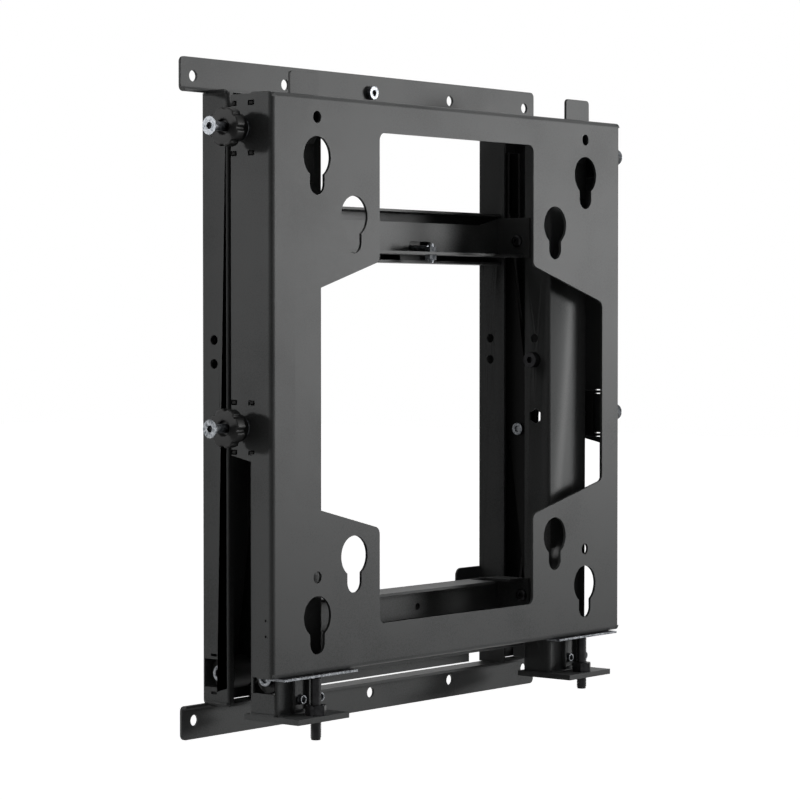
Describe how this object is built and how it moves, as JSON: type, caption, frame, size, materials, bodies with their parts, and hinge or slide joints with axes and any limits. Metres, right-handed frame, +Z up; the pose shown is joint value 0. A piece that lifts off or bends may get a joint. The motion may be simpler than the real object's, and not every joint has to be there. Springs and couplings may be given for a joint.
{
  "type": "pop-out video wall mount",
  "caption": "Folding steel wall mount for one screen of a video wall: a slotted plate on a scissor carriage that pops straight out, with screws for height and side adjustment.",
  "frame": {"origin": "centre of the wall bolt pattern, on the wall plane", "axes": "+X to the right as the screen is looked at, +Y into the wall, +Z up"},
  "size_m": [0.601, 0.1163, 0.6014],
  "materials": {
    "black_steel": "fine textured black powder coat",
    "zinc_steel": "bright zinc plate",
    "spring_steel": "oiled spring wire",
    "black_zinc": "black zinc plate",
    "black_plastic": "moulded, fine matt grain",
    "nylon": "turned nylon"
  },
  "bodies": {
    "wall_frame": {"top_wall_rail": "black_steel", "bottom_wall_rail": "black_steel", "left_wall_channel": "black_steel", "right_wall_channel": "black_steel", "upper_wall_crossbar": "black_steel", "lower_wall_crossbar": "black_steel", "wall_pivot_brackets": "black_steel", "wall_pivot_pins": "zinc_steel", "hanging_screw": "zinc_steel", "latch_case": "black_plastic", "latch_spring": "spring_steel"},
    "latch_pin": {"latch_plunger": "zinc_steel"},
    "long_arm_left": {"left_long_arm": "black_steel", "left_centre_pivot": "zinc_steel", "left_front_roller_shaft": "zinc_steel"},
    "long_arm_right": {"right_long_arm": "black_steel", "right_centre_pivot": "zinc_steel", "right_front_roller_shaft": "zinc_steel"},
    "front_roller_left": {"left_front_roller": "nylon"},
    "front_roller_right": {"right_front_roller": "nylon"},
    "lift_arm_left": {"left_lift_arm": "black_steel", "left_wall_roller_shaft": "zinc_steel"},
    "lift_arm_right": {"right_lift_arm": "black_steel", "right_wall_roller_shaft": "zinc_steel"},
    "wall_roller_left": {"left_wall_roller": "nylon"},
    "wall_roller_right": {"right_wall_roller": "nylon"},
    "carriage": {"left_carriage_channel": "black_steel", "right_carriage_channel": "black_steel", "upper_carriage_crossbar": "black_steel", "lower_carriage_crossbar": "black_steel", "bottom_carriage_crossbar": "black_steel", "crossbar_bolts": "black_zinc", "upright_bolts": "black_zinc", "carriage_pivot_brackets": "black_steel", "carriage_pivot_pins": "zinc_steel", "striker_bolt": "zinc_steel", "striker_nuts": "zinc_steel", "left_guide_tab": "black_steel", "right_guide_tab": "black_steel", "left_foot_plate": "black_steel", "right_foot_plate": "black_steel", "foot_brackets": "black_steel", "jack_nuts": "black_zinc", "foot_lock_screws": "zinc_steel"},
    "height_carrier": {"left_support_plate": "zinc_steel", "right_support_plate": "zinc_steel"},
    "jack_left": {"left_jack_screw": "black_zinc"},
    "jack_right": {"right_jack_screw": "black_zinc"},
    "screen_plate": {"front_plate": "black_steel", "adjuster_brackets": "black_steel", "captive_nuts": "zinc_steel", "knob_washers": "zinc_steel"},
    "screw_upper_left": {"upper_left_side_screw": "zinc_steel"},
    "knob_upper_left": {"upper_left_knob": "black_plastic"},
    "screw_upper_right": {"upper_right_side_screw": "zinc_steel"},
    "knob_upper_right": {"upper_right_knob": "black_plastic"},
    "screw_lower_left": {"lower_left_side_screw": "zinc_steel"},
    "knob_lower_left": {"lower_left_knob": "black_plastic"},
    "screw_lower_right": {"lower_right_side_screw": "zinc_steel"},
    "knob_lower_right": {"lower_right_knob": "black_plastic"}
  },
  "joints": [
    {"name": "pop_out", "type": "hinge", "parent": "wall_frame", "child": "long_arm_left", "pos_m": [-0.182, -0.0173, 0.168], "axis": [-1, 0, 0], "range_deg": [0, 30]},
    {"name": "cross_left", "type": "hinge", "parent": "long_arm_left", "child": "lift_arm_left", "pos_m": [-0.185, -0.0444, -0.0375], "axis": [-1, 0, 0], "range_deg": [-60, 0]},
    {"name": "carriage_hang", "type": "hinge", "parent": "lift_arm_left", "child": "carriage", "pos_m": [-0.188, -0.0715, 0.168], "axis": [-1, 0, 0], "range_deg": [0, 30]},
    {"name": "long_arm_right_turn", "type": "hinge", "parent": "wall_frame", "child": "long_arm_right", "pos_m": [0.182, -0.0173, 0.168], "axis": [-1, 0, 0], "range_deg": [0, 30]},
    {"name": "cross_right", "type": "hinge", "parent": "long_arm_right", "child": "lift_arm_right", "pos_m": [0.185, -0.0444, -0.0375], "axis": [-1, 0, 0], "range_deg": [-60, 0]},
    {"name": "front_roller_left_spin", "type": "hinge", "parent": "long_arm_left", "child": "front_roller_left", "pos_m": [-0.209, -0.0715, -0.243], "axis": [1, 0, 0], "continuous": true},
    {"name": "wall_roller_left_spin", "type": "hinge", "parent": "lift_arm_left", "child": "wall_roller_left", "pos_m": [-0.209, -0.0173, -0.243], "axis": [1, 0, 0], "continuous": true},
    {"name": "front_roller_right_spin", "type": "hinge", "parent": "long_arm_right", "child": "front_roller_right", "pos_m": [0.209, -0.0715, -0.243], "axis": [1, 0, 0], "continuous": true},
    {"name": "wall_roller_right_spin", "type": "hinge", "parent": "lift_arm_right", "child": "wall_roller_right", "pos_m": [0.209, -0.0173, -0.243], "axis": [1, 0, 0], "continuous": true},
    {"name": "latch_press", "type": "slide", "parent": "wall_frame", "child": "latch_pin", "axis": [0, 1, 0], "range_m": [0, 0.003], "stiffness_N_per_m": 600, "springref_m": -0.004, "deforming": ["latch_spring"]},
    {"name": "height_adjust", "type": "slide", "parent": "carriage", "child": "height_carrier", "axis": [0, 0, 1], "range_m": [0, 0.012]},
    {"name": "jack_left_turn", "type": "hinge", "parent": "height_carrier", "child": "jack_left", "pos_m": [-0.199, -0.1063, -0.268], "axis": [0, 0, 1], "range_deg": [-1, 2881]},
    {"name": "jack_right_turn", "type": "hinge", "parent": "height_carrier", "child": "jack_right", "pos_m": [0.199, -0.1063, -0.268], "axis": [0, 0, 1], "range_deg": [-1, 2881]},
    {"name": "side_adjust", "type": "slide", "parent": "height_carrier", "child": "screen_plate", "axis": [1, 0, 0], "range_m": [-0.007, 0.007]},
    {"name": "screw_upper_left_turn", "type": "hinge", "parent": "height_carrier", "child": "screw_upper_left", "pos_m": [-0.28, -0.0753, 0.2343], "axis": [1, 0, 0], "range_deg": [-2017, 2017]},
    {"name": "knob_upper_left_turn", "type": "hinge", "parent": "screen_plate", "child": "knob_upper_left", "pos_m": [-0.272, -0.0753, 0.2343], "axis": [1, 0, 0], "continuous": true},
    {"name": "screw_upper_right_turn", "type": "hinge", "parent": "height_carrier", "child": "screw_upper_right", "pos_m": [0.28, -0.0753, 0.2343], "axis": [1, 0, 0], "range_deg": [-2017, 2017]},
    {"name": "knob_upper_right_turn", "type": "hinge", "parent": "screen_plate", "child": "knob_upper_right", "pos_m": [0.272, -0.0753, 0.2343], "axis": [1, 0, 0], "continuous": true},
    {"name": "screw_lower_left_turn", "type": "hinge", "parent": "height_carrier", "child": "screw_lower_left", "pos_m": [-0.28, -0.0753, -0.023], "axis": [1, 0, 0], "range_deg": [-2017, 2017]},
    {"name": "knob_lower_left_turn", "type": "hinge", "parent": "screen_plate", "child": "knob_lower_left", "pos_m": [-0.272, -0.0753, -0.023], "axis": [1, 0, 0], "continuous": true},
    {"name": "screw_lower_right_turn", "type": "hinge", "parent": "height_carrier", "child": "screw_lower_right", "pos_m": [0.28, -0.0753, -0.023], "axis": [1, 0, 0], "range_deg": [-2017, 2017]},
    {"name": "knob_lower_right_turn", "type": "hinge", "parent": "screen_plate", "child": "knob_lower_right", "pos_m": [0.272, -0.0753, -0.023], "axis": [1, 0, 0], "continuous": true}
  ],
  "couplings": [
    {"joint": "cross_left", "follows": "pop_out", "ratio": -2},
    {"joint": "carriage_hang", "follows": "pop_out", "ratio": 1},
    {"joint": "long_arm_right_turn", "follows": "pop_out", "ratio": 1},
    {"joint": "cross_right", "follows": "pop_out", "ratio": -2},
    {"joint": "jack_left_turn", "follows": "height_adjust", "rad_per_m": 4188.8},
    {"joint": "jack_right_turn", "follows": "height_adjust", "rad_per_m": 4188.8},
    {"joint": "screw_upper_left_turn", "follows": "side_adjust", "rad_per_m": 5026.5},
    {"joint": "screw_upper_right_turn", "follows": "side_adjust", "rad_per_m": 5026.5},
    {"joint": "screw_lower_left_turn", "follows": "side_adjust", "rad_per_m": 5026.5},
    {"joint": "screw_lower_right_turn", "follows": "side_adjust", "rad_per_m": 5026.5}
  ]
}
